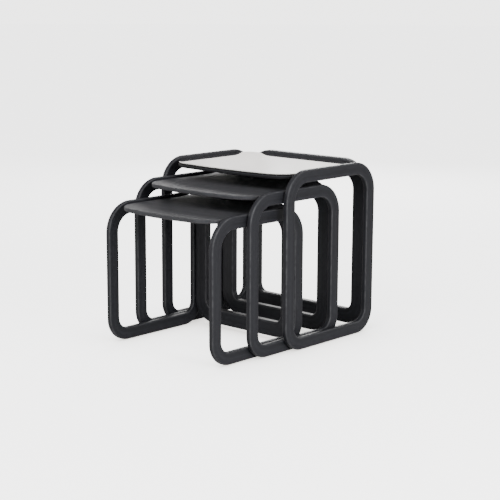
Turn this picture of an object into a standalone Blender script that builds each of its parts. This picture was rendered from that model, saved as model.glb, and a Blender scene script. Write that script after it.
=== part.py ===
"""Nest of three tables: each stands on a left, a right and a back loop frame, with a thin top set between them.

The large table's top carries a mirror plate. The middle table slides under the large one, and the small table
under the middle one. Metres, +Z up. The open fronts face -Y, and X = 0 is the centre plane of all three.
The origin is on the floor, at the middle of the whole nest as it stands with the tables drawn forward.
"""

import math

import bmesh
import bpy
from mathutils import Matrix, Vector

# Overall sizes of the three tables, outermost first
TABLES = ("large", "middle", "small")
LARGE_WIDTH = 0.487
LARGE_DEPTH = 0.387
LARGE_HEIGHT = 0.500
HEIGHT_STEP = 0.051
DEPTH_STEP = 0.011
NEST_CLEARANCE = 0.00275
MIDDLE_DRAWN_OUT = 0.125
SMALL_DRAWN_OUT = 0.124

# Side frames: closed loops of shaped rail that stand in the YZ plane
SIDE_RAIL_WIDTH = 0.0355
SIDE_RAIL_THICKNESS = 0.016
SIDE_LOWER_RADIUS = 0.068
SIDE_UPPER_RADIUS = 0.085

# Back frames: closed loops in the XZ plane, between the side frames and clear of the floor
BACK_RAIL_WIDTH = 0.044
BACK_RAIL_THICKNESS = 0.024
BACK_LOWER_RADIUS = 0.068
BACK_UPPER_RADIUS = 0.087
BACK_INSET = 0.0045
BACK_FLOOR_GAP = 0.011

RAIL_EDGE_RADIUS = 0.005
FIT_GAP = 0.0003

# Tops
TOP_RECESS = 0.0075
TOP_THICKNESS = 0.0115
TOP_FRONT_INSET = 0.0085
TOP_FRONT_BOW = 0.008
TOP_FRONT_RADIUS = 0.085
TOP_REAR_RADIUS = 0.030
TOP_EDGE_RADIUS = 0.003
MIRROR_RECESS = 0.0095
MIRROR_THICKNESS = 0.004
MIRROR_MARGIN = 0.0025
MIRROR_BEVEL = 0.0012
PAD_THICKNESS = 0.001
PAD_MARGIN = 0.040
MIRROR_BOARD_THICKNESS = 0.009

# Hidden dowels, and the glides under the side frames
DOWEL_SIDES = 12
FRAME_DOWEL_RADIUS = 0.004
FRAME_DOWEL_IN_SIDE = 0.010
FRAME_DOWEL_IN_BACK = 0.020
FRAME_DOWEL_HEIGHTS = (0.30, 0.72)
TOP_DOWEL_RADIUS = 0.0025
TOP_DOWEL_IN_SIDE = 0.010
TOP_DOWEL_IN_TOP = 0.018
TOP_DOWEL_PLACES = (0.32, 0.74)
DOWEL_END_GAP = 0.0005
GLIDE_RADIUS = 0.0045
GLIDE_HEIGHT = 0.004
GLIDE_STANDOFF = 0.0005
GLIDE_SIDES = 16
GLIDE_PLACES = (0.24, 0.76)

# Mesh fineness
CORNER_STEPS = 8
EDGE_STEPS = 2
PLATE_CORNER_STEPS = 8
BOW_STEPS = 12

BLACK_STAIN = ("black_stained_wood", (0.030, 0.030, 0.033, 1.0), 0.42, 0.0)
SATIN_BLACK = ("satin_black_top", (0.045, 0.045, 0.048, 1.0), 0.35, 0.0)
MIRROR_GLASS = ("mirror_glass", (0.86, 0.86, 0.85, 1.0), 0.03, 1.0)
BEECH = ("beech_dowel", (0.60, 0.43, 0.26, 1.0), 0.70, 0.0)
GLIDE_PLASTIC = ("black_glide", (0.020, 0.020, 0.021, 1.0), 0.55, 0.0)
BOND_FOAM = ("bonding_foam", (0.10, 0.10, 0.10, 1.0), 0.90, 0.0)


def clear_scene():
    for old in list(bpy.data.objects):
        bpy.data.objects.remove(old, do_unlink=True)


def new_collection(name):
    found = bpy.data.collections.new(name)
    bpy.context.scene.collection.children.link(found)
    return found


def new_material(name, color, roughness, metallic):
    material = bpy.data.materials.new(name)
    material.use_nodes = True
    shader = material.node_tree.nodes["Principled BSDF"]
    shader.inputs["Base Color"].default_value = color
    shader.inputs["Roughness"].default_value = roughness
    shader.inputs["Metallic"].default_value = metallic
    material.diffuse_color = color
    return material


def object_from(bm, name, finish, collection):
    """A mesh object with its own material, from a bmesh."""
    bmesh.ops.recalc_face_normals(bm, faces=bm.faces)
    mesh = bpy.data.meshes.new(name)
    bm.to_mesh(mesh)
    bm.free()
    mesh.shade_smooth()
    mesh.set_sharp_from_angle(angle=math.radians(35))
    obj = bpy.data.objects.new(name, mesh)
    collection.objects.link(obj)
    kind, color, roughness, metallic = finish
    mesh.materials.append(new_material(f"{kind}.{name}", color, roughness, metallic))
    return obj


def arc(centre, radius, start, end, steps):
    """Points of an arc in a plane, from one angle in degrees to another."""
    points = []
    for step in range(steps + 1):
        angle = math.radians(start + (end - start) * step / steps)
        points.append((centre[0] + radius * math.cos(angle), centre[1] + radius * math.sin(angle)))
    return points


def rounded_outline(half_width, low, high, low_radius, high_radius, steps):
    """A rectangle's outline with one radius at its two low corners and another at its two high corners."""
    corners = (
        (half_width - low_radius, low + low_radius, low_radius, -90),
        (half_width - high_radius, high - high_radius, high_radius, 0),
        (-half_width + high_radius, high - high_radius, high_radius, 90),
        (-half_width + low_radius, low + low_radius, low_radius, 180),
    )
    points = []
    for across, up, radius, start in corners:
        points += arc((across, up), radius, start, start + 90, steps)
    return points


def poly_curve(name, points, collection):
    """A flat closed curve through the points."""
    curve = bpy.data.curves.new(name, "CURVE")
    curve.dimensions = "2D"
    curve.fill_mode = "NONE"
    spline = curve.splines.new("POLY")
    spline.points.add(len(points) - 1)
    for point, (x, y) in zip(spline.points, points):
        point.co = (x, y, 0.0, 1.0)
    spline.use_cyclic_u = True
    obj = bpy.data.objects.new(name, curve)
    collection.objects.link(obj)
    return obj


def mesh_of(obj):
    """The object's evaluated mesh as a welded bmesh in world space; the object itself is removed."""
    bpy.context.view_layer.update()
    graph = bpy.context.evaluated_depsgraph_get()
    mesh = bpy.data.meshes.new_from_object(obj.evaluated_get(graph))
    bm = bmesh.new()
    bm.from_mesh(mesh)
    bm.transform(obj.matrix_world)
    bmesh.ops.remove_doubles(bm, verts=bm.verts, dist=0.00001)
    bpy.data.objects.remove(obj, do_unlink=True)
    bpy.data.meshes.remove(mesh)
    return bm


def loop_frame(name, width, height_low, height_high, rail_width, thickness, radii, place, parts, cutters):
    """A closed loop of rail with rounded edges: its section is swept round the loop's centre line."""
    section = poly_curve(
        name + "_section",
        rounded_outline(rail_width / 2, -thickness / 2, thickness / 2, RAIL_EDGE_RADIUS, RAIL_EDGE_RADIUS, EDGE_STEPS),
        cutters,
    )
    inner = rail_width / 2
    path = poly_curve(
        name + "_path",
        rounded_outline(
            width / 2 - inner,
            height_low + inner,
            height_high - inner,
            radii[0] - inner,
            radii[1] - inner,
            CORNER_STEPS,
        ),
        cutters,
    )
    path.data.bevel_mode = "OBJECT"
    path.data.bevel_object = section
    path.matrix_world = place
    bm = mesh_of(path)
    bpy.data.objects.remove(section, do_unlink=True)
    return object_from(bm, name, BLACK_STAIN, parts)


def bar_along_x(name, start, end, y, z, radius, sides, finish, collection):
    """A plain round bar from x = start to x = end."""
    bm = bmesh.new()
    turn = Matrix.Rotation(math.radians(90), 4, "Y")
    move = Matrix.Translation(((start + end) / 2, y, z))
    bmesh.ops.create_cone(
        bm,
        cap_ends=True,
        segments=sides,
        radius1=radius,
        radius2=radius,
        depth=abs(end - start),
        matrix=move @ turn,
    )
    return object_from(bm, name, finish, collection)


def upright_disc(name, x, y, low, high, radius, finish, collection):
    bm = bmesh.new()
    bmesh.ops.create_cone(
        bm,
        cap_ends=True,
        segments=GLIDE_SIDES,
        radius1=radius,
        radius2=radius,
        depth=high - low,
        matrix=Matrix.Translation((x, y, (low + high) / 2)),
    )
    return object_from(bm, name, finish, collection)


def as_cutter(obj):
    obj.hide_render = True
    obj.display_type = "WIRE"
    return obj


def cut(obj, cutter):
    modifier = obj.modifiers.new("hole for " + cutter.name, "BOOLEAN")
    modifier.operation = "DIFFERENCE"
    modifier.solver = "EXACT"
    modifier.object = cutter


def plate_outline(half_width, front, back, front_radius, rear_radius, bow):
    """A top's outline: round front corners, small rear corners, and a front edge bowed towards -Y."""
    chord = half_width - front_radius
    points = []
    for step in range(1, BOW_STEPS):
        x = -chord + 2 * chord * step / BOW_STEPS
        points.append((x, front - bow * (1 - (x / chord) ** 2)))
    points += arc((chord, front + front_radius), front_radius, -90, 0, PLATE_CORNER_STEPS)
    points += arc((half_width - rear_radius, back - rear_radius), rear_radius, 0, 90, PLATE_CORNER_STEPS)
    points += arc((-half_width + rear_radius, back - rear_radius), rear_radius, 90, 180, PLATE_CORNER_STEPS)
    points += arc((-chord, front + front_radius), front_radius, 180, 270, PLATE_CORNER_STEPS)
    return points


def plate(name, outline, low, high, edge_radius, edge_steps, top_and_bottom, finish, parts):
    """A flat board of the given outline, its edges rounded or bevelled at the top, or at top and bottom."""
    bm = bmesh.new()
    face = bm.faces.new([bm.verts.new((x, y, low)) for x, y in outline])
    lifted = bmesh.ops.extrude_face_region(bm, geom=[face])
    raised = [item for item in lifted["geom"] if isinstance(item, bmesh.types.BMVert)]
    bmesh.ops.translate(bm, verts=raised, vec=Vector((0.0, 0.0, high - low)))
    if edge_radius:
        rims = []
        for edge in bm.edges:
            heights = {round(vert.co.z, 6) for vert in edge.verts}
            flat = len(heights) == 1
            if flat and (top_and_bottom or heights == {round(high, 6)}):
                rims.append(edge)
        bmesh.ops.bevel(
            bm,
            geom=rims,
            offset=edge_radius,
            segments=edge_steps,
            profile=0.5,
            affect="EDGES",
            clamp_overlap=True,
        )
    return object_from(bm, name, finish, parts)


def table_sizes(index):
    """Sizes and place of one table; index 0 is the large one."""
    width = LARGE_WIDTH - 2 * index * (SIDE_RAIL_THICKNESS + NEST_CLEARANCE)
    depth = LARGE_DEPTH - index * DEPTH_STEP
    height = LARGE_HEIGHT - index * HEIGHT_STEP
    forward = (0.0, MIDDLE_DRAWN_OUT, MIDDLE_DRAWN_OUT + SMALL_DRAWN_OUT)[index]
    whole_depth = LARGE_DEPTH + MIDDLE_DRAWN_OUT + SMALL_DRAWN_OUT
    front = whole_depth / 2 - LARGE_DEPTH - forward
    return width, depth, height, front


def side_frame(label, hand, sign, size, parts, cutters):
    """One side loop, turned so that the loop stands in the YZ plane."""
    width, depth, height, front = size
    x = sign * (width - SIDE_RAIL_THICKNESS) / 2
    stand_up = Matrix(((0, 0, 1, x), (1, 0, 0, front + depth / 2), (0, 1, 0, 0), (0, 0, 0, 1)))
    return loop_frame(
        f"{label}_{hand}_frame",
        depth,
        GLIDE_STANDOFF,
        height,
        SIDE_RAIL_WIDTH,
        SIDE_RAIL_THICKNESS,
        (SIDE_LOWER_RADIUS, SIDE_UPPER_RADIUS),
        stand_up,
        parts,
        cutters,
    )


def back_frame(label, size, parts, cutters):
    width, depth, height, front = size
    y = front + depth - BACK_INSET - BACK_RAIL_THICKNESS / 2
    stand_up = Matrix(((1, 0, 0, 0), (0, 0, -1, y), (0, 1, 0, 0), (0, 0, 0, 1)))
    return loop_frame(
        f"{label}_back_frame",
        width - 2 * (SIDE_RAIL_THICKNESS + FIT_GAP),
        BACK_FLOOR_GAP,
        height,
        BACK_RAIL_WIDTH,
        BACK_RAIL_THICKNESS,
        (BACK_LOWER_RADIUS, BACK_UPPER_RADIUS),
        stand_up,
        parts,
        cutters,
    )


def table_top(label, size, parts):
    """The thin top between the side frames; the large one lies lower, under its mirror plate."""
    width, depth, height, front = size
    half_width = width / 2 - SIDE_RAIL_THICKNESS - FIT_GAP
    back = front + depth - BACK_INSET - BACK_RAIL_THICKNESS - FIT_GAP
    if label == "large":
        high = height - MIRROR_RECESS - MIRROR_THICKNESS - PAD_THICKNESS - 2 * FIT_GAP
        low = high - MIRROR_BOARD_THICKNESS
    else:
        high = height - TOP_RECESS
        low = high - TOP_THICKNESS
    outline = plate_outline(
        half_width, front + TOP_FRONT_INSET, back, TOP_FRONT_RADIUS, TOP_REAR_RADIUS, TOP_FRONT_BOW
    )
    name = f"{label}_top"
    top = plate(name, outline, low, high, TOP_EDGE_RADIUS, EDGE_STEPS, True, SATIN_BLACK, parts)
    return top, low, high


def mirror_and_pad(size, board_high, parts):
    """The mirror plate with its bevelled rim, and the foam sheet that bonds it to the large top."""
    width, depth, height, front = size
    half_width = width / 2 - SIDE_RAIL_THICKNESS - MIRROR_MARGIN
    back = front + depth - BACK_INSET - BACK_RAIL_THICKNESS - MIRROR_MARGIN
    edge = front + TOP_FRONT_INSET + MIRROR_MARGIN
    high = height - MIRROR_RECESS
    low = high - MIRROR_THICKNESS
    outline = plate_outline(
        half_width, edge, back, TOP_FRONT_RADIUS - MIRROR_MARGIN, TOP_REAR_RADIUS, TOP_FRONT_BOW
    )
    plate("large_mirror_plate", outline, low, high, MIRROR_BEVEL, 1, False, MIRROR_GLASS, parts)
    pad_outline = plate_outline(
        half_width - PAD_MARGIN,
        edge + PAD_MARGIN,
        back - PAD_MARGIN,
        TOP_FRONT_RADIUS - PAD_MARGIN,
        TOP_REAR_RADIUS,
        TOP_FRONT_BOW,
    )
    pad_low = board_high + FIT_GAP
    plate("large_mirror_bonding_sheet", pad_outline, pad_low, low - FIT_GAP, 0, 1, False, BOND_FOAM, parts)


def dowel_joint(name, side, other, sign, face_x, in_side, in_other, y, z, radius, parts, cutters):
    """A dowel along X across the meeting faces of a side frame and its neighbour, in a hole in each."""
    outer = sign * (face_x + in_side)
    inner = sign * (face_x - in_other)
    end_gap = sign * DOWEL_END_GAP
    bar_along_x(name, inner + end_gap, outer - end_gap, y, z, radius, DOWEL_SIDES, BEECH, parts)
    cutter = as_cutter(
        bar_along_x(name + "_hole", inner, outer, y, z, radius + FIT_GAP, DOWEL_SIDES, BEECH, cutters)
    )
    cut(side, cutter)
    cut(other, cutter)


def table(index, parts, cutters):
    label = TABLES[index]
    size = table_sizes(index)
    width, depth, height, front = size
    back = back_frame(label, size, parts, cutters)
    top, top_low, top_high = table_top(label, size, parts)
    if label == "large":
        mirror_and_pad(size, top_high, parts)
    inner_face = width / 2 - SIDE_RAIL_THICKNESS
    dowel_y = front + depth - BACK_INSET - BACK_RAIL_THICKNESS / 2
    for hand, sign in (("left", -1), ("right", 1)):
        side = side_frame(label, hand, sign, size, parts, cutters)
        for level, share in zip(("lower", "upper"), FRAME_DOWEL_HEIGHTS):
            dowel_joint(
                f"{label}_{hand}_{level}_frame_dowel",
                side,
                back,
                sign,
                inner_face,
                FRAME_DOWEL_IN_SIDE,
                FRAME_DOWEL_IN_BACK,
                dowel_y,
                height * share,
                FRAME_DOWEL_RADIUS,
                parts,
                cutters,
            )
        for end, share in zip(("front", "rear"), TOP_DOWEL_PLACES):
            dowel_joint(
                f"{label}_{hand}_{end}_top_dowel",
                side,
                top,
                sign,
                inner_face,
                TOP_DOWEL_IN_SIDE,
                TOP_DOWEL_IN_TOP,
                front + depth * share,
                (top_low + top_high) / 2,
                TOP_DOWEL_RADIUS,
                parts,
                cutters,
            )
        for end, share in zip(("front", "rear"), GLIDE_PLACES):
            glide_x = sign * (width - SIDE_RAIL_THICKNESS) / 2
            glide_y = front + depth * share
            name = f"{label}_{hand}_{end}_glide"
            upright_disc(name, glide_x, glide_y, 0.0, GLIDE_HEIGHT, GLIDE_RADIUS, GLIDE_PLASTIC, parts)
            recess = upright_disc(
                name + "_recess",
                glide_x,
                glide_y,
                -GLIDE_HEIGHT,
                GLIDE_HEIGHT + FIT_GAP,
                GLIDE_RADIUS + FIT_GAP,
                GLIDE_PLASTIC,
                cutters,
            )
            cut(side, as_cutter(recess))


def main():
    clear_scene()
    parts = new_collection("nesting_tables")
    cutters = new_collection("cutters")
    for index in range(len(TABLES)):
        table(index, parts, cutters)


main()
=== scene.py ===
"""The finished look of a nest of three loop-frame tables, as a Blender add-on that is run as a script.

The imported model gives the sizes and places. Each operator makes one kind of piece: the loop frames, the
black tops, the mirror plate, the dowels and glides, and the studio. Metres, +Z up, with the open fronts
towards -Y.
"""

import math

import bmesh
import bpy
from bpy.props import FloatProperty, FloatVectorProperty, IntProperty, PointerProperty
from mathutils import Matrix, Vector


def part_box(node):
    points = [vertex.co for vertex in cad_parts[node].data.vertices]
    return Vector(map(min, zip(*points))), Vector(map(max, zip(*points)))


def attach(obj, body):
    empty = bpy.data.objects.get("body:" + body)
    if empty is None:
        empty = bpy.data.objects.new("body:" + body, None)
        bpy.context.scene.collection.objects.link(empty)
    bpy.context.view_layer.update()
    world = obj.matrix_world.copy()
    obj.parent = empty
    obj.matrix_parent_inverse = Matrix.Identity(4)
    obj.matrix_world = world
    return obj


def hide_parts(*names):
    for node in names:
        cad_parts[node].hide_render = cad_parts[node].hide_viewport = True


bl_info = {
    "name": "Nesting Tables",
    "version": (1, 0, 0),
    "blender": (4, 5, 0),
    "location": "View3D > Sidebar > Nesting Tables",
    "description": "Builds the finished look of a nest of three loop-frame tables around its packed model",
    "category": "Add Mesh",
}

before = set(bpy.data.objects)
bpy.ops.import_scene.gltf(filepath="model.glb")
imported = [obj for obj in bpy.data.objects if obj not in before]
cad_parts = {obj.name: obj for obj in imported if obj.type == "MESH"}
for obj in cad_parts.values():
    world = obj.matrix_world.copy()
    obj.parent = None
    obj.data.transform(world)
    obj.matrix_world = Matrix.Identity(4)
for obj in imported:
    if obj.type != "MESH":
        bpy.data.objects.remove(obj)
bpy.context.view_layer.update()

TABLES = ("large", "middle", "small")
MM = 0.001
UV_NAME = "UVMap"
EDGE_NAME = "edge"
DUST = (0.30, 0.29, 0.28)
DUST_ON_MIRROR = (0.55, 0.54, 0.52)
SHARP_ANGLE = math.radians(40)
FLAT_FACE_WEIGHT = 80

# How the plane of a loop (across, up, through) stands in the room
SIDE_STAND = Matrix(((0, 0, 1, 0), (1, 0, 0, 0), (0, 1, 0, 0), (0, 0, 0, 1)))
BACK_STAND = Matrix(((1, 0, 0, 0), (0, 0, -1, 0), (0, 1, 0, 0), (0, 0, 0, 1)))


def length(name, description, default):
    return FloatProperty(
        name=name, description=description, default=default, min=0.0, unit="LENGTH", precision=5
    )


def share(name, description, default):
    return FloatProperty(name=name, description=description, default=default, min=0.0, soft_max=1.0)


def color(name, description, default):
    return FloatVectorProperty(
        name=name, description=description, default=default, size=3, min=0.0, max=1.0, subtype="COLOR"
    )


def angle(name, description, degrees):
    return FloatProperty(
        name=name, description=description, default=math.radians(degrees), subtype="ANGLE", unit="ROTATION"
    )


def count(name, description, default):
    return IntProperty(name=name, description=description, default=default, min=1)


class RailSettings(bpy.types.PropertyGroup):
    side_rail_width: length("Side rail width", "Width of a side loop's rail, seen from the side", 35.5 * MM)
    side_lower_radius: length("Side lower radius", "Outer radius of a side loop's lower corners", 68 * MM)
    side_upper_radius: length("Side upper radius", "Outer radius of a side loop's upper corners", 85 * MM)
    back_rail_width: length("Back rail width", "Width of a back loop's rail, seen from behind", 44 * MM)
    back_lower_radius: length("Back lower radius", "Outer radius of a back loop's lower corners", 68 * MM)
    back_upper_radius: length("Back upper radius", "Outer radius of a back loop's upper corners", 87 * MM)
    edge_radius: length("Edge radius", "Rounding of the rail's four long edges", 5 * MM)
    corner_steps: count("Corner steps", "Steps round each corner of a loop", 28)
    edge_steps: count("Edge steps", "Steps round each long edge of a rail", 5)
    stain: color("Stain", "Colour of the stained and lacquered rails", (0.0108, 0.0112, 0.0138))
    # The worn edge colour is a highlight painted along the rails' rounded edges
    painted_highlight_colour: color("Painted edge highlight", "Colour where the stain is thin along the edges", (0.085, 0.086, 0.090))
    roughness: share("Roughness", "Roughness of the rails' satin lacquer", 0.44)
    shine: share("Shine", "Specular level of the lacquer", 0.17)
    # How strong the painted highlight along the rails' edges is
    painted_highlight_amount: share("Painted Highlight", "How much the edges are rubbed", 0.55)
    peel: share("Peel", "Strength of the lacquer's orange peel", 0.10)
    grain_along: count("Grain along", "Grain cells per metre along the rail", 9)
    grain_across: count("Grain across", "Grain cells per metre across the rail", 700)


class TopSettings(bpy.types.PropertyGroup):
    front_bow: length("Front bow", "How far the middle of the front edge bows forward", 8 * MM)
    front_radius: length("Front radius", "Radius of the two front corners", 85 * MM)
    rear_radius: length("Rear radius", "Radius of the two rear corners", 30 * MM)
    edge_radius: length("Edge radius", "Rounding of a board's upper and lower edges", 3 * MM)
    front_steps: count("Front steps", "Steps along the bowed front edge", 32)
    front_corner_steps: count("Front corner steps", "Steps round each front corner", 28)
    rear_corner_steps: count("Rear corner steps", "Steps round each rear corner", 14)
    edge_steps: count("Edge steps", "Steps round a board's upper and lower edges", 5)
    lacquer: color("Lacquer", "Colour of the satin black lacquer", (0.0330, 0.0335, 0.0370))
    # The worn edge colour is a highlight painted along the tops' rounded edges
    painted_highlight_colour: color("Painted edge highlight", "Colour where the lacquer is thin along the edges", (0.085, 0.085, 0.088))
    under_mirror: color("Under mirror", "Colour of the board under the mirror", (0.0050, 0.0052, 0.0065))
    roughness: share("Roughness", "Roughness of the tops' lacquer", 0.50)
    shine: share("Shine", "Specular level of the lacquer", 0.12)
    # How strong the painted edge highlight is on the bare boards, and on the mirror's board below
    painted_highlight_amount: share("Painted Highlight", "How much the edges of the bare boards are rubbed", 0.45)
    painted_highlight_under_mirror: share("Wear under the mirror", "How much the mirror's board is rubbed", 0.30)
    peel: share("Peel", "Strength of the lacquer's orange peel", 0.12)
    grain_along: count("Grain along", "Grain cells per metre from side to side", 5)
    grain_across: count("Grain across", "Grain cells per metre from front to back", 420)


class MirrorSettings(bpy.types.PropertyGroup):
    margin: length("Margin", "How far the plate's edge stands inside the board's", 2.5 * MM)
    bevel: length("Bevel", "Width of the polished bevel round the rim", 1.8 * MM)
    level_face: share("Level face", "How squarely a face looks up to be silvered", 0.99)
    sloping_face: share("Sloping face", "How squarely a face looks up to be polished as bevel", 0.2)
    silver: color("Silver", "Tint of the silvered face", (0.90, 0.885, 0.865))
    rim: color("Ground rim", "Colour of the glass's ground edge", (0.012, 0.014, 0.014))


class FittingSettings(bpy.types.PropertyGroup):
    fit_gap: length("Fit gap", "Clearance of a dowel or glide in its hole", 0.3 * MM)
    end_gap: length("End gap", "Space left beyond each end of a dowel", 0.5 * MM)
    drill_sides: count("Drill sides", "Sides of a bored hole", 24)
    chamfer: length("Chamfer", "Chamfer at the ends of the dowels and glides", 0.5 * MM)
    flutes: count("Flutes", "Number of glue flutes round a dowel", 10)
    flute_depth: length("Flute depth", "Depth of the flutes", 0.25 * MM)
    beech: color("Beech", "Colour of the plain beech dowels", (0.60, 0.43, 0.26))
    plastic: color("Plastic", "Colour of the glides", (0.020, 0.020, 0.021))
    foam: color("Foam", "Colour of the sheet that bonds the mirror to its board", (0.10, 0.10, 0.10))


class StudioSettings(bpy.types.PropertyGroup):
    azimuth: angle("Azimuth", "How far the camera stands round from the front towards +X", 42.27)
    elevation: angle("Elevation", "How far the camera looks down", 10.86)
    roll: angle("Roll", "Turn of the camera about its line of sight", 0.25)
    distance: length("Distance", "From the camera to the point it looks at", 3.957)
    lens: FloatProperty(
        name="Lens", description="Focal length on a 36 mm sensor", default=96.1, unit="CAMERA"
    )
    aim: FloatVectorProperty(
        name="Aim",
        description="The point the camera looks at",
        default=(-0.072, 0.131, 0.2214),
        subtype="TRANSLATION",
    )
    sky: share("Sky", "Brightness of the soft light from above the wall", 0.40)
    wall: share("Wall", "Brightness of the pale wall low down all round, which the mirror shows", 2.2)
    wall_height: angle("Wall height", "How far up the pale wall reaches, seen from the tables", 21.0)
    wall_blur: share("Wall blur", "Share of its height over which the wall fades out", 0.3)
    wall_folds: share("Wall folds", "Fineness of the wall's uneven patches", 26.0)
    wall_dim: share("Dim patches", "Brightness of the wall's dim patches, as a share of the wall", 0.74)
    wall_bright: share("Bright patches", "Brightness of its bright patches, as a share of the wall", 1.12)
    fill: share("Fill", "How much of the room's light falls on matt surfaces", 0.35)
    backdrop: share("Backdrop", "Brightness of the backdrop as it shows", 3.6)
    floor_lift: share("Floor lift", "Brightness added to the floor as it shows", 3.2)
    floor_radius: length("Floor radius", "How far the floor reaches", 40.0)
    floor_sides: count("Floor sides", "Sides of the round floor", 96)
    floor: color("Floor", "Colour of the pale floor", (0.86, 0.855, 0.85))
    # The floor's lift dims near the rails: a painted contact shadow
    painted_shadow_reach: length("Contact reach", "How near the rails dim the floor", 0.22)
    painted_shadow_share: share("Contact shade", "Share of the floor's lift that is left under the rails", 0.45)


# Shared tools


def feed(tree, made, inputs):
    """Joins each named or numbered input of a node to a socket, or sets it to a value."""
    for key, value in inputs.items():
        if isinstance(key, int):
            socket = made.inputs[key]
        else:
            socket = next(found for found in made.inputs if found.name == key and found.enabled)
        if isinstance(value, bpy.types.NodeSocket):
            tree.links.new(value, socket)
        else:
            socket.default_value = value


def node(tree, kind, inputs=None, **settings):
    """A node with its settings made and its inputs fed."""
    made = tree.nodes.new(kind)
    for name, value in settings.items():
        setattr(made, name, value)
    feed(tree, made, inputs or {})
    return made


def math_node(tree, operation, *values, clamp=False):
    made = node(tree, "ShaderNodeMath", dict(enumerate(values)), operation=operation, use_clamp=clamp)
    return made.outputs[0]


def noise(tree, vector, scale, detail, **more):
    """The grey value of a noise texture."""
    inputs = {"Vector": vector, "Scale": scale, "Detail": detail, **more}
    return node(tree, "ShaderNodeTexNoise", inputs).outputs[0]


def ranged(tree, value, low, high, to=(0.0, 1.0), smooth=False):
    """A value carried over from one range to another, clamped, and smoothed at both ends if asked."""
    inputs = {"Value": value, "From Min": low, "From Max": high, "To Min": to[0], "To Max": to[1]}
    kind = "SMOOTHSTEP" if smooth else "LINEAR"
    return node(tree, "ShaderNodeMapRange", inputs, interpolation_type=kind).outputs[0]


def between(tree, factor, first, second):
    """A value between two values."""
    inputs = {"Factor": factor, "A": first, "B": second}
    return node(tree, "ShaderNodeMix", inputs, data_type="FLOAT").outputs[0]


def scaled(channels, factor):
    """A colour made brighter or darker, kept within white."""
    return tuple(min(1.0, factor * channel) for channel in channels)


def add_sockets(tree, inputs, outputs):
    """Named sockets of a node group. Inputs are (name, kind, default), outputs are (name, kind)."""
    for name, kind, default in inputs:
        socket = tree.interface.new_socket(name=name, in_out="INPUT", socket_type=kind)
        if default is not None:
            socket.default_value = default
    for name, kind in outputs:
        tree.interface.new_socket(name=name, in_out="OUTPUT", socket_type=kind)


def plain(obj):
    """Turns the object's evaluated shape into its own plain mesh, with no modifier left on it."""
    bpy.context.view_layer.update()
    graph = bpy.context.evaluated_depsgraph_get()
    shape = obj.evaluated_get(graph)
    mesh = bpy.data.meshes.new_from_object(shape, preserve_all_data_layers=True, depsgraph=graph)
    obj.modifiers.clear()
    obj.data = mesh
    mesh.name = obj.name
    return obj


def new_object(name, data):
    obj = bpy.data.objects.new(name, data)
    bpy.context.scene.collection.objects.link(obj)
    return obj


def mesh_from(bm, name):
    mesh = bpy.data.meshes.new(name)
    bm.to_mesh(mesh)
    bm.free()
    return mesh


def box_of(name):
    """Centre and size of a CAD node."""
    low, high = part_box(name)
    return (low + high) / 2, high - low


def nodes_ending(label, ending):
    return [name for name in sorted(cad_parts) if name.startswith(label) and name.endswith(ending)]


def hand_over(piece, label, replaced):
    """The piece rides on its table and shows in place of its CAD nodes."""
    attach(piece, f"{label}_table")
    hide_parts(*replaced)


# Shader node groups


def grain_group():
    """Long wood grain: fine pores that run along the first coordinate, and a broad slow figure."""
    tree = bpy.data.node_groups.new("wood_grain", "ShaderNodeTree")
    add_sockets(
        tree,
        (
            ("Vector", "NodeSocketVector", None),
            ("Along", "NodeSocketFloat", 12.0),
            ("Across", "NodeSocketFloat", 900.0),
        ),
        (("Figure", "NodeSocketFloat"), ("Pores", "NodeSocketFloat")),
    )
    given = node(tree, "NodeGroupInput").outputs
    stretch = node(
        tree, "ShaderNodeCombineXYZ", {"X": given["Along"], "Y": given["Across"], "Z": given["Across"]}
    ).outputs[0]
    drawn_out = node(
        tree, "ShaderNodeVectorMath", {0: given["Vector"], 1: stretch}, operation="MULTIPLY"
    ).outputs[0]
    fine = noise(tree, drawn_out, scale=1.0, detail=5.0, Roughness=0.6)
    slow = noise(tree, drawn_out, scale=0.12, detail=3.0, Distortion=0.6)
    pores = ranged(tree, fine, 0.30, 0.46, smooth=True)
    figure = math_node(tree, "MULTIPLY_ADD", fine, 0.35, math_node(tree, "MULTIPLY", slow, 0.65))
    node(tree, "NodeGroupOutput", {"Figure": figure, "Pores": pores})
    return tree


def painted_edge_highlight_group():
    """Where a highlight is painted along the edges: strongest on the rounded edges, and broken up along
    them.
    """
    tree = bpy.data.node_groups.new("painted_edge_highlight", "ShaderNodeTree")
    add_sockets(
        tree,
        (
            ("Vector", "NodeSocketVector", None),
            ("Edge", "NodeSocketFloat", 0.0),
            ("Amount", "NodeSocketFloat", 0.5),
        ),
        (("Painted Highlight", "NodeSocketFloat"),),
    )
    given = node(tree, "NodeGroupInput").outputs
    patch = ranged(tree, noise(tree, given["Vector"], scale=60.0, detail=4.0), 0.35, 0.70)
    rim = ranged(tree, given["Edge"], 0.35, 1.0, smooth=True)
    highlit_edge = math_node(tree, "MULTIPLY", rim, math_node(tree, "MULTIPLY_ADD", patch, 0.7, 0.3))
    painted_highlight_share = math_node(tree, "MULTIPLY", highlit_edge, given["Amount"], clamp=True)
    node(tree, "NodeGroupOutput", {"Painted Highlight": painted_highlight_share})
    return tree


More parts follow.
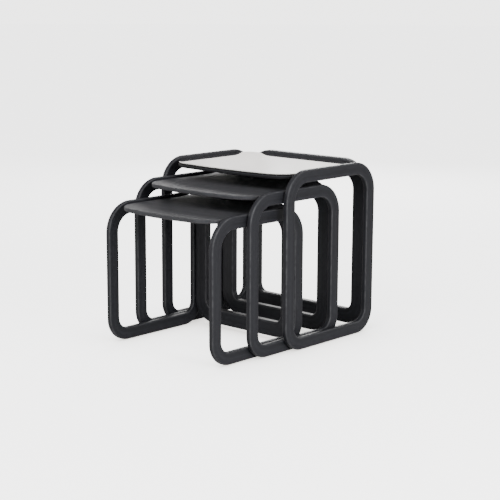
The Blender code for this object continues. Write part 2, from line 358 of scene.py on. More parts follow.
def dust_group():
    """A few pale specks of dust: in some of the cells of a fine grid there is one round speck."""
    tree = bpy.data.node_groups.new("dust", "ShaderNodeTree")
    add_sockets(
        tree,
        (
            ("Vector", "NodeSocketVector", None),
            ("Cells", "NodeSocketFloat", 45.0),
            ("Share", "NodeSocketFloat", 0.06),
            ("Speck", "NodeSocketFloat", 0.035),
        ),
        (("Dust", "NodeSocketFloat"),),
    )
    given = node(tree, "NodeGroupInput").outputs
    grid = {"Vector": given["Vector"], "Scale": given["Cells"]}
    cells = node(tree, "ShaderNodeTexVoronoi", grid, voronoi_dimensions="3D").outputs
    chance = node(tree, "ShaderNodeSeparateColor", {"Color": cells["Color"]}).outputs[0]
    chosen = math_node(tree, "LESS_THAN", chance, given["Share"])
    speck = math_node(tree, "LESS_THAN", cells["Distance"], given["Speck"])
    node(tree, "NodeGroupOutput", {"Dust": math_node(tree, "MULTIPLY", chosen, speck)})
    return tree


def group(name, maker):
    """The node group of this name, made the first time that it is needed."""
    return bpy.data.node_groups.get(name) or maker()


def placed(tree, name, maker, inputs):
    """A shader node group placed in a material with its own values."""
    return node(tree, "ShaderNodeGroup", inputs, node_tree=group(name, maker)).outputs


# Materials

# How the lacquered wood varies, with noise scales in cells per metre and bump depths in metres
STREAK_GAIN, STREAK_LIFT = 1.55, 0.001
CLOUD_SCALE, CLOUD_ROUGHNESS = 9.0, (-0.05, 0.06)
FIGURE_ROUGHNESS, DUST_ROUGHNESS = 0.06, 0.3
PEEL_SCALE, PEEL_DEPTH = 420.0, 0.08 * MM
PORE_STRENGTH, PORE_DEPTH = 0.22, 0.06 * MM


def new_material(name):
    """A material with a Principled shader: the material, its tree, the shader and the object's space."""
    material = bpy.data.materials.new(name)
    material.use_nodes = True
    tree = material.node_tree
    place = node(tree, "ShaderNodeTexCoord").outputs["Object"]
    return material, tree, tree.nodes["Principled BSDF"], place


def mixed(tree, factor, first, second):
    """A colour between two colours."""
    made = node(tree, "ShaderNodeMix", {"Factor": factor}, data_type="RGBA")
    for socket, value in zip([found for found in made.inputs if found.type == "RGBA"], (first, second)):
        if isinstance(value, bpy.types.NodeSocket):
            tree.links.new(value, socket)
        else:
            socket.default_value = (*value, 1.0)
    return next(found for found in made.outputs if found.type == "RGBA")


def bumped(tree, height, strength, depth, below=None):
    """A bump normal of the given height in metres."""
    inputs = {"Height": height, "Strength": strength, "Distance": depth}
    if below is not None:
        inputs["Normal"] = below
    return node(tree, "ShaderNodeBump", inputs).outputs[0]


def lacquered_wood(name, base, painted_highlight_amount, finish):
    """Black stained wood under satin lacquer: a faint bump of grain, and a highlight painted along the
    edges as a lighter colour.
    """
    material, tree, shader, place = new_material(name)
    flow = node(tree, "ShaderNodeUVMap", uv_map=UV_NAME).outputs[0]
    edge = node(tree, "ShaderNodeAttribute", attribute_name=EDGE_NAME).outputs["Fac"]
    grain = {"Vector": flow, "Along": finish.grain_along, "Across": finish.grain_across}
    wood = placed(tree, "wood_grain", grain_group, grain)
    # A painted highlight along the rounded edges, broken up in patches
    highlit_edge = placed(tree, "painted_edge_highlight", painted_edge_highlight_group, {"Vector": place, "Edge": edge, "Amount": painted_highlight_amount})["Painted Highlight"]
    dust = placed(tree, "dust", dust_group, {"Vector": place})["Dust"]

    paler = tuple(min(1.0, channel * STREAK_GAIN + STREAK_LIFT) for channel in base)
    streaked = mixed(tree, ranged(tree, wood["Figure"], 0.40, 0.62), base, paler)
    # The painted highlight: the edges' lighter colour laid over the streaked wood
    streaked_and_highlit = mixed(tree, highlit_edge, streaked, finish.painted_highlight_colour)
    cloudy = noise(tree, place, scale=CLOUD_SCALE, detail=5.0)
    sheen = ranged(tree, cloudy, 0.30, 0.70, to=[finish.roughness + step for step in CLOUD_ROUGHNESS])
    pored = math_node(tree, "MULTIPLY_ADD", wood["Figure"], FIGURE_ROUGHNESS, sheen)
    skin = bumped(tree, noise(tree, place, scale=PEEL_SCALE, detail=2.0), finish.peel, PEEL_DEPTH)
    look = {
        "Base Color": mixed(tree, dust, streaked_and_highlit, DUST),
        "Roughness": math_node(tree, "MULTIPLY_ADD", dust, DUST_ROUGHNESS, pored),
        "Normal": bumped(tree, wood["Pores"], PORE_STRENGTH, PORE_DEPTH, skin),
        "Specular IOR Level": finish.shine,
    }
    feed(tree, shader, look)
    return material


def silvered_glass(settings):
    """The mirror's face: a clean reflection with a breath of haze and a few faint wipe marks."""
    material, tree, shader, place = new_material("silvered_glass")
    wipe = {"Vector": place, "Rotation": (0, 0, 0.6), "Scale": (6, 42, 6)}
    marks = noise(tree, node(tree, "ShaderNodeMapping", wipe).outputs[0], scale=1.0, detail=6.0)
    haze = noise(tree, place, scale=7.0, detail=3.0)
    specks = {"Vector": place, "Cells": 60.0, "Share": 0.04, "Speck": 0.03}
    dust = placed(tree, "dust", dust_group, specks)["Dust"]
    soft = math_node(tree, "MULTIPLY", ranged(tree, marks, 0.52, 0.75), ranged(tree, haze, 0.40, 0.70))
    half_soft = math_node(tree, "MULTIPLY", soft, 0.5)
    greyed = mixed(tree, half_soft, settings.silver, scaled(settings.silver, 0.93))
    look = {
        "Base Color": mixed(tree, dust, greyed, DUST_ON_MIRROR),
        "Roughness": math_node(tree, "MULTIPLY_ADD", soft, 0.07, 0.025),
        "Metallic": math_node(tree, "MULTIPLY_ADD", dust, -1.0, 1.0),
        "Normal": bumped(tree, haze, strength=0.02, depth=0.2 * MM),
    }
    feed(tree, shader, look)
    return material


def polished_bevel(settings):
    """The bevel of the mirror's rim, which catches the light as a thin bright line."""
    material, tree, shader, place = new_material("polished_bevel")
    grind = noise(tree, place, scale=300.0, detail=2.0)
    patch = ranged(tree, grind, 0.3, 0.7)
    look = {
        "Base Color": mixed(tree, patch, scaled(settings.silver, 1.06), settings.silver),
        "Roughness": ranged(tree, patch, 0.0, 1.0, to=(0.30, 0.40)),
        "Normal": bumped(tree, grind, strength=0.1, depth=0.03 * MM),
        "Metallic": 0.35,
    }
    feed(tree, shader, look)
    return material


def ground_rim(settings):
    """The mirror's ground edge and painted back."""
    material, tree, shader, place = new_material("ground_glass_rim")
    grit = noise(tree, place, scale=900.0, detail=3.0)
    patch = ranged(tree, grit, 0.35, 0.65)
    look = {
        "Base Color": mixed(tree, patch, scaled(settings.rim, 0.6), settings.rim),
        "Roughness": ranged(tree, patch, 0.0, 1.0, to=(0.30, 0.48)),
        "Normal": bumped(tree, grit, strength=0.3, depth=0.05 * MM),
    }
    feed(tree, shader, look)
    return material


def beech_wood(settings):
    """Plain turned beech: pale, with short dark flecks along the dowel."""
    material, tree, shader, place = new_material("turned_beech")
    wood = placed(tree, "wood_grain", grain_group, {"Vector": place, "Along": 60.0, "Across": 1400.0})
    streak = ranged(tree, wood["Figure"], 0.38, 0.62)
    look = {
        "Base Color": mixed(tree, streak, scaled(settings.beech, 0.72), settings.beech),
        "Roughness": ranged(tree, wood["Figure"], 0.35, 0.65, to=(0.62, 0.76)),
        "Normal": bumped(tree, wood["Pores"], strength=0.4, depth=0.1 * MM),
    }
    feed(tree, shader, look)
    return material


def moulded_plastic(settings):
    """Black moulded plastic with a fine spark-eroded texture and scuffs from the floor."""
    material, tree, shader, place = new_material("moulded_plastic")
    grit = noise(tree, place, scale=1500.0, detail=3.0)
    scuffs = noise(tree, place, scale=240.0, detail=6.0)
    grey = tuple(channel + 0.05 for channel in settings.plastic)
    look = {
        "Base Color": mixed(tree, ranged(tree, scuffs, 0.55, 0.75), settings.plastic, grey),
        "Roughness": ranged(tree, scuffs, 0.3, 0.7, to=(0.48, 0.66)),
        "Normal": bumped(tree, grit, strength=0.35, depth=0.05 * MM),
    }
    feed(tree, shader, look)
    return material


def cell_foam(settings):
    """Closed-cell foam, with its cut cells as fine pits, painted darker inside as shade."""
    material, tree, shader, place = new_material("closed_cell_foam")
    cells = node(tree, "ShaderNodeTexVoronoi", {"Vector": place, "Scale": 1800.0}).outputs["Distance"]
    wall = ranged(tree, cells, 0.0, 0.7)
    # The pits are painted darker: painted shade in the cut cells
    look = {
        "Base Color": mixed(tree, wall, scaled(settings.foam, 0.55), settings.foam),
        "Roughness": ranged(tree, wall, 0.0, 1.0, to=(0.94, 0.82)),
        "Normal": bumped(tree, cells, strength=0.6, depth=0.1 * MM),
    }
    feed(tree, shader, look)
    return material


# Loop frames

# A face whose length drops by more than this share of the whole is the one that closes the line
CLOSING_SHARE = 0.25


def unbroken(tree, value, total):
    """A length round a closed line, as a face's corner sees it: it doesn't drop to zero where it closes."""
    over_faces = {"data_type": "FLOAT", "domain": "FACE"}
    middle = node(tree, "GeometryNodeFieldOnDomain", {"Value": value}, **over_faces).outputs[0]
    drop = math_node(tree, "SUBTRACT", middle, value)
    least_drop = math_node(tree, "MULTIPLY", total, CLOSING_SHARE)
    closing = math_node(tree, "GREATER_THAN", drop, least_drop)
    return math_node(tree, "MULTIPLY_ADD", closing, total, value)


def rounded_rectangle(tree, width, height, radius, steps):
    sides = {"Width": width, "Height": height}
    made = node(tree, "GeometryNodeCurvePrimitiveQuadrilateral", sides, mode="RECTANGLE").outputs[0]
    corners = {"Curve": made, "Count": steps, "Radius": radius}
    return node(tree, "GeometryNodeFilletCurve", corners, mode="POLY").outputs[0]


def captured(tree, curve, fields):
    """The curve with fields kept on it, and each field as it reads later on: a dictionary of sockets."""
    made = tree.nodes.new("GeometryNodeCaptureAttribute")
    made.domain = "POINT"
    tree.links.new(curve, made.inputs[0])
    for name, value in fields.items():
        made.capture_items.new("FLOAT", name)
        tree.links.new(value, made.inputs[name])
    return made.outputs[0], {name: made.outputs[name] for name in fields}


def stored(tree, geometry, name, value, kind, domain):
    """The geometry with a named attribute stored on it."""
    inputs = {"Geometry": geometry, "Name": name, "Value": value}
    return node(tree, "GeometryNodeStoreNamedAttribute", inputs, data_type=kind, domain=domain).outputs[0]


def dressed_output(tree, geometry, material):
    """Ends a tree: the geometry made real and given its material."""
    real = node(tree, "GeometryNodeRealizeInstances", {"Geometry": geometry}).outputs[0]
    dressed = node(tree, "GeometryNodeSetMaterial", {"Geometry": real, "Material": material}).outputs[0]
    node(tree, "NodeGroupOutput", {"Geometry": dressed})


def rail_loop_tree():
    """A closed loop of rail in the XY plane: a rounded section carried round a round-cornered rectangle."""
    tree = bpy.data.node_groups.new("rail_loop", "GeometryNodeTree")
    lengths = (
        "Width",
        "Height",
        "Rail Width",
        "Rail Thickness",
        "Lower Radius",
        "Upper Radius",
        "Edge Radius",
    )
    add_sockets(
        tree,
        (
            *((name, "NodeSocketFloat", 0.1) for name in lengths),
            ("Corner Steps", "NodeSocketInt", 16),
            ("Edge Steps", "NodeSocketInt", 4),
            ("Material", "NodeSocketMaterial", None),
        ),
        (("Geometry", "NodeSocketGeometry"),),
    )
    given = node(tree, "NodeGroupInput").outputs
    half_rail = math_node(tree, "MULTIPLY", given["Rail Width"], 0.5)
    position = node(tree, "GeometryNodeInputPosition").outputs[0]
    place = node(tree, "ShaderNodeSeparateXYZ", {0: position}).outputs
    is_upper = math_node(tree, "GREATER_THAN", place["Y"], 0.0)
    more = math_node(tree, "SUBTRACT", given["Upper Radius"], given["Lower Radius"])
    outer_radius = math_node(tree, "MULTIPLY_ADD", is_upper, more, given["Lower Radius"])
    path = rounded_rectangle(
        tree,
        math_node(tree, "SUBTRACT", given["Width"], given["Rail Width"]),
        math_node(tree, "SUBTRACT", given["Height"], given["Rail Width"]),
        math_node(tree, "SUBTRACT", outer_radius, half_rail),
        given["Corner Steps"],
    )
    path = node(tree, "GeometryNodeSetCurveNormal", {"Curve": path}, mode="Z_UP").outputs[0]
    section = rounded_rectangle(
        tree, given["Rail Width"], given["Rail Thickness"], given["Edge Radius"], given["Edge Steps"]
    )

    run = node(tree, "GeometryNodeSplineParameter").outputs["Length"]
    whole = node(tree, "GeometryNodeSplineLength").outputs["Length"]
    off_centre = [math_node(tree, "ABSOLUTE", place[axis]) for axis in "XY"]
    across = math_node(tree, "ADD", *off_centre)
    half_girth = math_node(tree, "MULTIPLY_ADD", given["Rail Thickness"], 0.5, half_rail)
    beyond = math_node(tree, "ADD", math_node(tree, "SUBTRACT", across, half_girth), given["Edge Radius"])
    corner_cut = math_node(tree, "MULTIPLY", given["Edge Radius"], math.sqrt(2) - 1)
    arris = math_node(tree, "DIVIDE", beyond, corner_cut)
    path, along = captured(tree, path, {"Run": run, "Round": whole})
    section, girth = captured(tree, section, {"Girth": run, "Whole Girth": whole, "Arris": arris})
    rail = node(tree, "GeometryNodeCurveToMesh", {"Curve": path, "Profile Curve": section}).outputs[0]

    flow_along = unbroken(tree, along["Run"], along["Round"])
    flow_round = unbroken(tree, girth["Girth"], girth["Whole Girth"])
    flow = node(tree, "ShaderNodeCombineXYZ", {"X": flow_along, "Y": flow_round}).outputs[0]
    rail = stored(tree, rail, EDGE_NAME, girth["Arris"], "FLOAT", "POINT")
    rail = stored(tree, rail, UV_NAME, flow, "FLOAT2", "CORNER")
    dressed_output(tree, rail, given["Material"])
    return tree


def grown(obj, tree, values):
    """Gives the object a Geometry Nodes modifier with these named values, and makes the result plain."""
    modifier = obj.modifiers.new(tree.name, "NODES")
    modifier.node_group = tree
    sockets = {item.name: item.identifier for item in tree.interface.items_tree if item.in_out == "INPUT"}
    for name, value in values.items():
        modifier[sockets[name]] = value
    plain(obj)
    obj.data.materials.clear()
    obj.data.materials.append(values["Material"])
    obj.data.polygons.foreach_set("material_index", [0] * len(obj.data.polygons))
    return obj


def drill(label, settings, material):
    """One cutter with every dowel hole and glide recess of a table."""
    bm = bmesh.new()
    for name in nodes_ending(label, "_dowel") + nodes_ending(label, "_glide"):
        centre, size = box_of(name)
        lying = name.endswith("_dowel")
        reach = size.x + 2 * settings.end_gap if lying else 2 * size.z
        lift = 0.0 if lying else settings.fit_gap - size.z / 2
        turn = Matrix.Rotation(math.radians(90), 4, "Y") if lying else Matrix.Identity(4)
        radius = size.y / 2 + settings.fit_gap
        bmesh.ops.create_cone(
            bm,
            cap_ends=True,
            segments=settings.drill_sides,
            radius1=radius,
            radius2=radius,
            depth=reach,
            matrix=Matrix.Translation(centre + Vector((0, 0, lift))) @ turn,
        )
    cutter = new_object(label + "_drill", mesh_from(bm, label + "_drill"))
    cutter.data.materials.append(material)
    return cutter


def finished(obj, cutter=None):
    """Bores the holes, smooths the rounded faces and keeps the flat ones flat."""
    if cutter:
        bore = obj.modifiers.new("bore", "BOOLEAN")
        bore.operation = "DIFFERENCE"
        bore.solver = "EXACT"
        bore.object = cutter
        plain(obj)
    obj.data.shade_smooth()
    obj.data.set_sharp_from_angle(angle=SHARP_ANGLE)
    flat = obj.modifiers.new("flat faces", "WEIGHTED_NORMAL")
    flat.keep_sharp = True
    flat.weight = FLAT_FACE_WEIGHT
    return plain(obj)


def loop_frame(name, stand, rail_width, radii, settings, material, cutter):
    """One loop of rail in the place of a CAD frame, with its lower and upper outer radii."""
    centre, size = box_of(name)
    local = stand.to_3x3().inverted() @ size
    width, height, thickness = (abs(side) for side in local)
    obj = new_object(name + "_rail", bpy.data.meshes.new(name))
    grown(
        obj,
        group("rail_loop", rail_loop_tree),
        {
            "Width": width,
            "Height": height,
            "Rail Width": rail_width,
            "Rail Thickness": thickness,
            "Lower Radius": radii[0],
            "Upper Radius": radii[1],
            "Edge Radius": settings.edge_radius,
            "Corner Steps": settings.corner_steps,
            "Edge Steps": settings.edge_steps,
            "Material": material,
        },
    )
    obj.data.transform(Matrix.Translation(centre) @ stand)
    return finished(obj, cutter)


class NEST_OT_rails(bpy.types.Operator):
    """Make the nine loop frames, bored for their dowels and glides"""

    bl_idname = "nest.rails"
    bl_label = "Loop frames"

    def execute(self, context):
        rails, fittings = context.scene.nest_rails, context.scene.nest_fittings
        material = lacquered_wood("satin_black_rail", tuple(rails.stain), rails.painted_highlight_amount, rails)
        side_radii = (rails.side_lower_radius, rails.side_upper_radius)
        back_radii = (rails.back_lower_radius, rails.back_upper_radius)
        side = (SIDE_STAND, rails.side_rail_width, side_radii)
        back = (BACK_STAND, rails.back_rail_width, back_radii)
        for label in TABLES:
            cutter = drill(label, fittings, material)
            for place, shape in (("left", side), ("right", side), ("back", back)):
                name = f"{label}_{place}_frame"
                rail = loop_frame(name, *shape, rails, material, cutter)
                hand_over(rail, label, [name])
            bpy.data.objects.remove(cutter, do_unlink=True)
        return {"FINISHED"}


# Tops and mirror


def arc(centre, radius, start, steps):
    """Points of a quarter circle that starts at an angle in degrees."""
    points = []
    for step in range(steps + 1):
        turn = math.radians(start + 90 * step / steps)
        points.append((centre[0] + radius * math.cos(turn), centre[1] + radius * math.sin(turn)))
    return points


def top_outline(name, front_radius, tops):
    """The outline in a CAD board's box: round corners, and a front edge that bows towards -Y."""
    low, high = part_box(name)
    front, rear_radius = low.y + tops.front_bow, tops.rear_radius
    chord = high.x - front_radius
    front_centre, rear_centre = front + front_radius, high.y - rear_radius
    points = []
    for step in range(1, tops.front_steps):
        x = chord * (2 * step / tops.front_steps - 1)
        points.append((x, front - tops.front_bow * (1 - (x / chord) ** 2)))
    points += arc((chord, front_centre), front_radius, -90, tops.front_corner_steps)
    points += arc((high.x - rear_radius, rear_centre), rear_radius, 0, tops.rear_corner_steps)
    points += arc((-high.x + rear_radius, rear_centre), rear_radius, 90, tops.rear_corner_steps)
    points += arc((-chord, front_centre), front_radius, 180, tops.front_corner_steps)
    return points


def board(name, outline, low, high, edge, steps, both):
    """A flat board with its upper edge or both edges rounded in steps, and the layers its finish needs."""
    bm = bmesh.new()
    face = bm.faces.new([bm.verts.new((x, y, low)) for x, y in outline])
    lifted = bmesh.ops.extrude_face_region(bm, geom=[face])
    raised = [item for item in lifted["geom"] if isinstance(item, bmesh.types.BMVert)]
    bmesh.ops.translate(bm, verts=raised, vec=(0, 0, high - low))
    middle = (low + high) / 2
    rims = []
    for line in bm.edges:
        heights = [vert.co.z for vert in line.verts]
        level = max(heights) - min(heights) < (high - low) / 2
        if level and (both or min(heights) > middle):
            rims.append(line)
    bmesh.ops.bevel(
        bm, geom=rims, offset=edge, segments=steps, profile=0.5, affect="EDGES", clamp_overlap=True
    )
    bmesh.ops.recalc_face_normals(bm, faces=bm.faces)
    flow = bm.loops.layers.uv.new(UV_NAME)
    arris = bm.verts.layers.float.new(EDGE_NAME)
    for vert in bm.verts:
        rise = max(0.0, edge - min(high - vert.co.z, vert.co.z - low)) / edge
        vert[arris] = 2 * rise * math.sqrt(max(0.0, 1 - rise * rise))
    for found in bm.faces:
        for corner in found.loops:
            corner[flow].uv = corner.vert.co.xy
    return new_object(name, mesh_from(bm, name))


class NEST_OT_tops(bpy.types.Operator):
    """Make the three black boards that the frames carry"""

    bl_idname = "nest.tops"
    bl_label = "Black tops"

    def execute(self, context):
        tops, fittings = context.scene.nest_tops, context.scene.nest_fittings
        bare = lacquered_wood("satin_black_board", tuple(tops.lacquer), tops.painted_highlight_amount, tops)
        covered = lacquered_wood(
            "deep_black_board", tuple(tops.under_mirror), tops.painted_highlight_under_mirror, tops
        )
        for label in TABLES:
            name = f"{label}_top"
            low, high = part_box(name)
            outline = top_outline(name, tops.front_radius, tops)
            top = board(name + "_board", outline, low.z, high.z, tops.edge_radius, tops.edge_steps, True)
            finish = covered if label == "large" else bare
            top.data.materials.append(finish)
            cutter = drill(label, fittings, finish)
            hand_over(finished(top, cutter), label, [name])
            bpy.data.objects.remove(cutter, do_unlink=True)
        return {"FINISHED"}


class NEST_OT_mirror(bpy.types.Operator):
    """Make the mirror plate with its bevelled rim, and finish the sheet that bonds it"""

    bl_idname = "nest.mirror"
    bl_label = "Mirror plate"

    def execute(self, context):
        tops, mirror = context.scene.nest_tops, context.scene.nest_mirror
        low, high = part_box("large_mirror_plate")
        outline = top_outline("large_mirror_plate", tops.front_radius - mirror.margin, tops)
        plate = board("large_mirror", outline, low.z, high.z, mirror.bevel, 1, False)
        for material in (silvered_glass(mirror), polished_bevel(mirror), ground_rim(mirror)):
            plate.data.materials.append(material)
        for face in plate.data.polygons:
            facing_up = face.normal.z
            face.material_index = (facing_up <= mirror.level_face) + (facing_up <= mirror.sloping_face)
        hand_over(finished(plate), "large", ["large_mirror_plate"])
        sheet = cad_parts["large_mirror_bonding_sheet"]
        sheet.data.materials.clear()
        sheet.data.materials.append(cell_foam(context.scene.nest_fittings))
        return {"FINISHED"}


# Dowels and glides

# A peg's segments along its length. Beyond this share of its length from the middle, a ring is an end ring
PEG_SEGMENTS = 3
END_SHARE = 0.4


def turned_pegs_tree():
    """A turned peg at each point of a mesh: chamfered ends and, where there are any, flutes along it."""
    tree = bpy.data.node_groups.new("turned_pegs", "GeometryNodeTree")
    add_sockets(
        tree,
        (
            ("Points", "NodeSocketGeometry", None),
            ("Radius", "NodeSocketFloat", 0.004),
            ("Length", "NodeSocketFloat", 0.03),
            ("Chamfer", "NodeSocketFloat", 0.0005),
            ("Flutes", "NodeSocketInt", 10),
            ("Flute Depth", "NodeSocketFloat", 0.0),
            ("Sides", "NodeSocketInt", 40),
            ("Turn", "NodeSocketVector", None),
            ("Material", "NodeSocketMaterial", None),
        ),
        (("Geometry", "NodeSocketGeometry"),),
    )
    given = node(tree, "NodeGroupInput").outputs
    blank = {
        "Vertices": given["Sides"],
        "Side Segments": PEG_SEGMENTS,
        "Radius": given["Radius"],
        "Depth": given["Length"],
    }
    peg = node(tree, "GeometryNodeMeshCylinder", blank, fill_type="NGON").outputs["Mesh"]
    place = node(tree, "GeometryNodeInputPosition").outputs[0]
    x, y, z = node(tree, "ShaderNodeSeparateXYZ", {0: place}).outputs
    height = math_node(tree, "ABSOLUTE", z)
    near_end = math_node(tree, "MULTIPLY", given["Length"], END_SHARE)
    at_end = math_node(tree, "GREATER_THAN", height, near_end)
    inward = math_node(tree, "MULTIPLY", given["Chamfer"], -1.0)
    shoulder = math_node(tree, "MULTIPLY_ADD", given["Length"], 0.5, inward)
    to_shoulder = math_node(tree, "MULTIPLY", math_node(tree, "SIGN", z), shoulder)
    new_z = between(tree, at_end, to_shoulder, z)
    turned = math_node(tree, "MULTIPLY", math_node(tree, "ARCTAN2", y, x), given["Flutes"])
    groove = math_node(tree, "MULTIPLY_ADD", math_node(tree, "COSINE", turned), 0.5, 0.5)
    cut_in = math_node(tree, "MULTIPLY", groove, given["Flute Depth"])
    cut_in = math_node(tree, "MULTIPLY_ADD", at_end, given["Chamfer"], cut_in)
    shrink = math_node(tree, "SUBTRACT", 1.0, math_node(tree, "DIVIDE", cut_in, given["Radius"]))
    new_x, new_y = (math_node(tree, "MULTIPLY", value, shrink) for value in (x, y))
    shaped = node(tree, "ShaderNodeCombineXYZ", {"X": new_x, "Y": new_y, "Z": new_z}).outputs[0]
    peg = node(tree, "GeometryNodeSetPosition", {"Geometry": peg, "Position": shaped}).outputs[0]
    placing = {"Points": given["Points"], "Instance": peg, "Rotation": given["Turn"]}
    pegs = node(tree, "GeometryNodeInstanceOnPoints", placing).outputs[0]
    dressed_output(tree, pegs, given["Material"])
    return tree


def pegs_at(name, nodes, lying, flute_depth, settings, material):
    """One mesh with a peg in the place of each of these CAD nodes, which are all of one size."""
    places = [box_of(found)[0] for found in nodes]
    size = box_of(nodes[0])[1]
    mesh = bpy.data.meshes.new(name)
    mesh.from_pydata(places, [], [])
    obj = new_object(name, mesh)
    grown(
        obj,
        group("turned_pegs", turned_pegs_tree),
        {
            "Radius": size.y / 2,
            "Length": size.x if lying else size.z,
            "Chamfer": settings.chamfer,
            "Flutes": settings.flutes,
            "Flute Depth": flute_depth,
            "Turn": (0.0, math.pi / 2 if lying else 0.0, 0.0),
            "Material": material,
        },
    )
    return finished(obj)


class NEST_OT_fittings(bpy.types.Operator):
    """Make the fluted dowels in the joints and the glides under the side frames"""

    bl_idname = "nest.fittings"
    bl_label = "Dowels and glides"

    def execute(self, context):
        settings = context.scene.nest_fittings
        beech, plastic = beech_wood(settings), moulded_plastic(settings)
        kinds = (
            ("frame_dowels", "_frame_dowel", True, settings.flute_depth, beech, "beech_dowel"),
            ("top_dowels", "_top_dowel", True, settings.flute_depth / 2, beech, "beech_dowel"),
            ("glides", "_glide", False, 0.0, plastic, "glide_plastic"),
        )
        for label in TABLES:
            for kind, ending, lying, flute_depth, material, slot in kinds:
                nodes = nodes_ending(label, ending)
                pegs = pegs_at(f"{label}_{kind}", nodes, lying, flute_depth, settings, material)
                hand_over(pegs, label, nodes)
        return {"FINISHED"}


# Studio

BACKDROP_TINT = (1.0, 0.992, 0.98)
WALL_TINT = (1.0, 0.955, 0.925)
FLOOR_TINT = (1.0, 0.998, 0.994)
# The warm tint of the painted contact shadow under the rails
PAINTED_SHADOW_TINT = (1.0, 0.97, 0.92)

# Each soft light's name, place, the height it points at, its width and height, and its power in watts
SOFTBOXES = (
    ("overhead softbox", (-0.3, -0.2, 2.6), 0.3, (2.4, 1.8), 8.0),
    ("left softbox", (-2.4, -2.2, 1.5), 0.2, (0.9, 1.2), 14.0),
    ("front softbox", (0.6, -2.4, 2.6), 0.3, (1.8, 1.2), 85.0),
    ("right softbox", (3.2, -0.4, 1.3), 0.25, (1.2, 1.2), 100.0),
    ("rear softbox", (-2.0, 2.9, 1.6), 0.25, (1.6, 1.2), 60.0),
)


def floor_material(settings):
    """Pale matt floor, lifted towards white as it shows to the camera, and less so close to the rails: a
    painted contact shadow, warm in tint.
    """
    material, tree, shader, place = new_material("pale_floor")
    mottle = ranged(tree, noise(tree, place, scale=3.0, detail=4.0), 0.3, 0.7)
    seen = node(tree, "ShaderNodeLightPath").outputs["Is Camera Ray"]
    reach = {"Distance": settings.painted_shadow_reach}
    # Ambient occlusion darkens the floor's lift near the rails: a painted contact shadow
    open_sky = node(tree, "ShaderNodeAmbientOcclusion", reach, samples=12).outputs["AO"]
    shade = ranged(tree, open_sky, 0.35, 1.0)
    lowest = settings.painted_shadow_share * settings.floor_lift
    lift = ranged(tree, shade, 0.0, 1.0, to=(lowest, settings.floor_lift))
    look = {
        "Base Color": mixed(tree, mottle, settings.floor, scaled(settings.floor, 0.985)),
        "Roughness": 0.9,
        "Specular IOR Level": 0.1,
        "Emission Strength": math_node(tree, "MULTIPLY", seen, lift),
        "Emission Color": mixed(tree, shade, PAINTED_SHADOW_TINT, FLOOR_TINT),
    }
    feed(tree, shader, look)
    return material


def studio_world(settings):
    """An uneven pale wall low down all round and a dimmer sky above it, with a white backdrop in sight.

    Matt surfaces get only a share of this light, so that the softboxes shape them.
    """
    world = bpy.data.worlds.new("studio")
    bpy.context.scene.world = world
    world.use_nodes = True
    tree = world.node_tree
    direction = node(tree, "ShaderNodeTexCoord").outputs["Generated"]
    rise = node(tree, "ShaderNodeSeparateXYZ", {0: direction}).outputs["Z"]
    edge = math.sin(settings.wall_height)
    blur = settings.wall_blur
    above = ranged(tree, rise, (1 - blur) * edge, (1 + blur) * edge, smooth=True)
    fold = ranged(tree, noise(tree, direction, scale=settings.wall_folds, detail=1.0), 0.35, 0.65)
    dim, bright = settings.wall_dim * settings.wall, settings.wall_bright * settings.wall
    light = between(tree, above, ranged(tree, fold, 0.0, 1.0, to=(dim, bright)), settings.sky)
    rays = node(tree, "ShaderNodeLightPath").outputs
    fill = ranged(tree, rays["Is Diffuse Ray"], 0.0, 1.0, to=(1.0, settings.fill))
    light = math_node(tree, "MULTIPLY", light, fill)
    hue = mixed(tree, fold, WALL_TINT, BACKDROP_TINT)
    look = {
        "Strength": between(tree, rays["Is Camera Ray"], light, settings.backdrop),
        "Color": mixed(tree, rays["Is Camera Ray"], hue, BACKDROP_TINT),
    }
    feed(tree, tree.nodes["Background"], look)


def softbox(name, place, target_height, size, power):
    """A rectangular light turned towards a point over the middle of the nest."""
    light = bpy.data.lights.new(name, "AREA")
    light.shape = "RECTANGLE"
    light.size, light.size_y = size
    light.energy = power
    obj = new_object(name, light)
    obj.location = place
    to_target = Vector((0.0, 0.0, target_height)) - Vector(place)
    obj.rotation_euler = to_target.to_track_quat("-Z", "Y").to_euler()


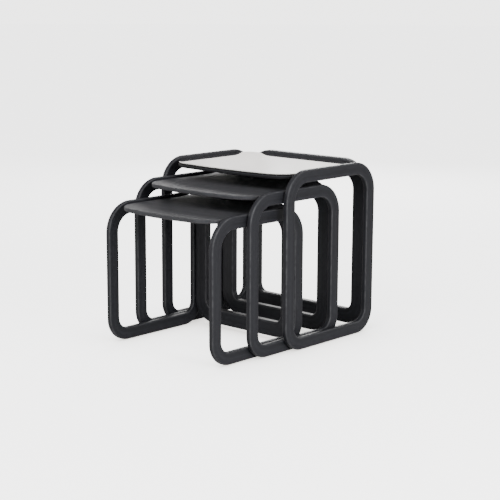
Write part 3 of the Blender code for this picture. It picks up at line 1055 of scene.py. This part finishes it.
class NEST_OT_studio(bpy.types.Operator):
    """Make the camera, the pale floor and the soft lights"""

    bl_idname = "nest.studio"
    bl_label = "Studio"

    def execute(self, context):
        studio = context.scene.nest_studio
        away = Vector(
            (
                math.sin(studio.azimuth) * math.cos(studio.elevation),
                -math.cos(studio.azimuth) * math.cos(studio.elevation),
                math.sin(studio.elevation),
            )
        )
        level = Vector((math.cos(studio.azimuth), math.sin(studio.azimuth), 0.0))
        level.rotate(Matrix.Rotation(studio.roll, 3, away))
        upward = away.cross(level)
        stand = Vector(studio.aim) + away * studio.distance
        camera = new_object("camera", bpy.data.cameras.new("camera"))
        turned = Matrix((level, upward, away)).transposed()
        camera.matrix_world = Matrix.Translation(stand) @ turned.to_4x4()
        camera.data.lens = studio.lens
        context.scene.camera = camera

        bpy.ops.mesh.primitive_circle_add(
            vertices=studio.floor_sides, radius=studio.floor_radius, fill_type="NGON"
        )
        floor = context.object
        floor.name = "floor"
        floor.data.materials.append(floor_material(studio))
        studio_world(studio)
        for light in SOFTBOXES:
            softbox(*light)
        return {"FINISHED"}


class NEST_PT_panel(bpy.types.Panel):
    """Lists the pieces of the nest and their settings"""

    bl_idname = "NEST_PT_panel"
    bl_label = "Nesting Tables"
    bl_space_type = "VIEW_3D"
    bl_region_type = "UI"
    bl_category = "Nesting Tables"

    def draw(self, context):
        for operator, pointer in STEPS:
            box = self.layout.box()
            settings = getattr(context.scene, pointer)
            for name in settings.bl_rna.properties.keys():
                if name not in ("rna_type", "name"):
                    box.prop(settings, name)
            box.operator(operator.bl_idname)


STEPS = (
    (NEST_OT_rails, "nest_rails"),
    (NEST_OT_tops, "nest_tops"),
    (NEST_OT_mirror, "nest_mirror"),
    (NEST_OT_fittings, "nest_fittings"),
    (NEST_OT_studio, "nest_studio"),
)
SETTINGS = {
    "nest_rails": RailSettings,
    "nest_tops": TopSettings,
    "nest_mirror": MirrorSettings,
    "nest_fittings": FittingSettings,
    "nest_studio": StudioSettings,
}
OPERATORS = (NEST_OT_rails, NEST_OT_tops, NEST_OT_mirror, NEST_OT_fittings, NEST_OT_studio)


def register():
    for name, settings in SETTINGS.items():
        bpy.utils.register_class(settings)
        setattr(bpy.types.Scene, name, PointerProperty(type=settings))
    for operator in (*OPERATORS, NEST_PT_panel):
        bpy.utils.register_class(operator)


def unregister():
    for operator in (*OPERATORS, NEST_PT_panel):
        bpy.utils.unregister_class(operator)
    for name, settings in SETTINGS.items():
        delattr(bpy.types.Scene, name)
        bpy.utils.unregister_class(settings)


def main():
    register()
    bpy.ops.nest.studio()
    bpy.ops.nest.rails()
    bpy.ops.nest.tops()
    bpy.ops.nest.mirror()
    bpy.ops.nest.fittings()


if __name__ == "__main__":
    main()
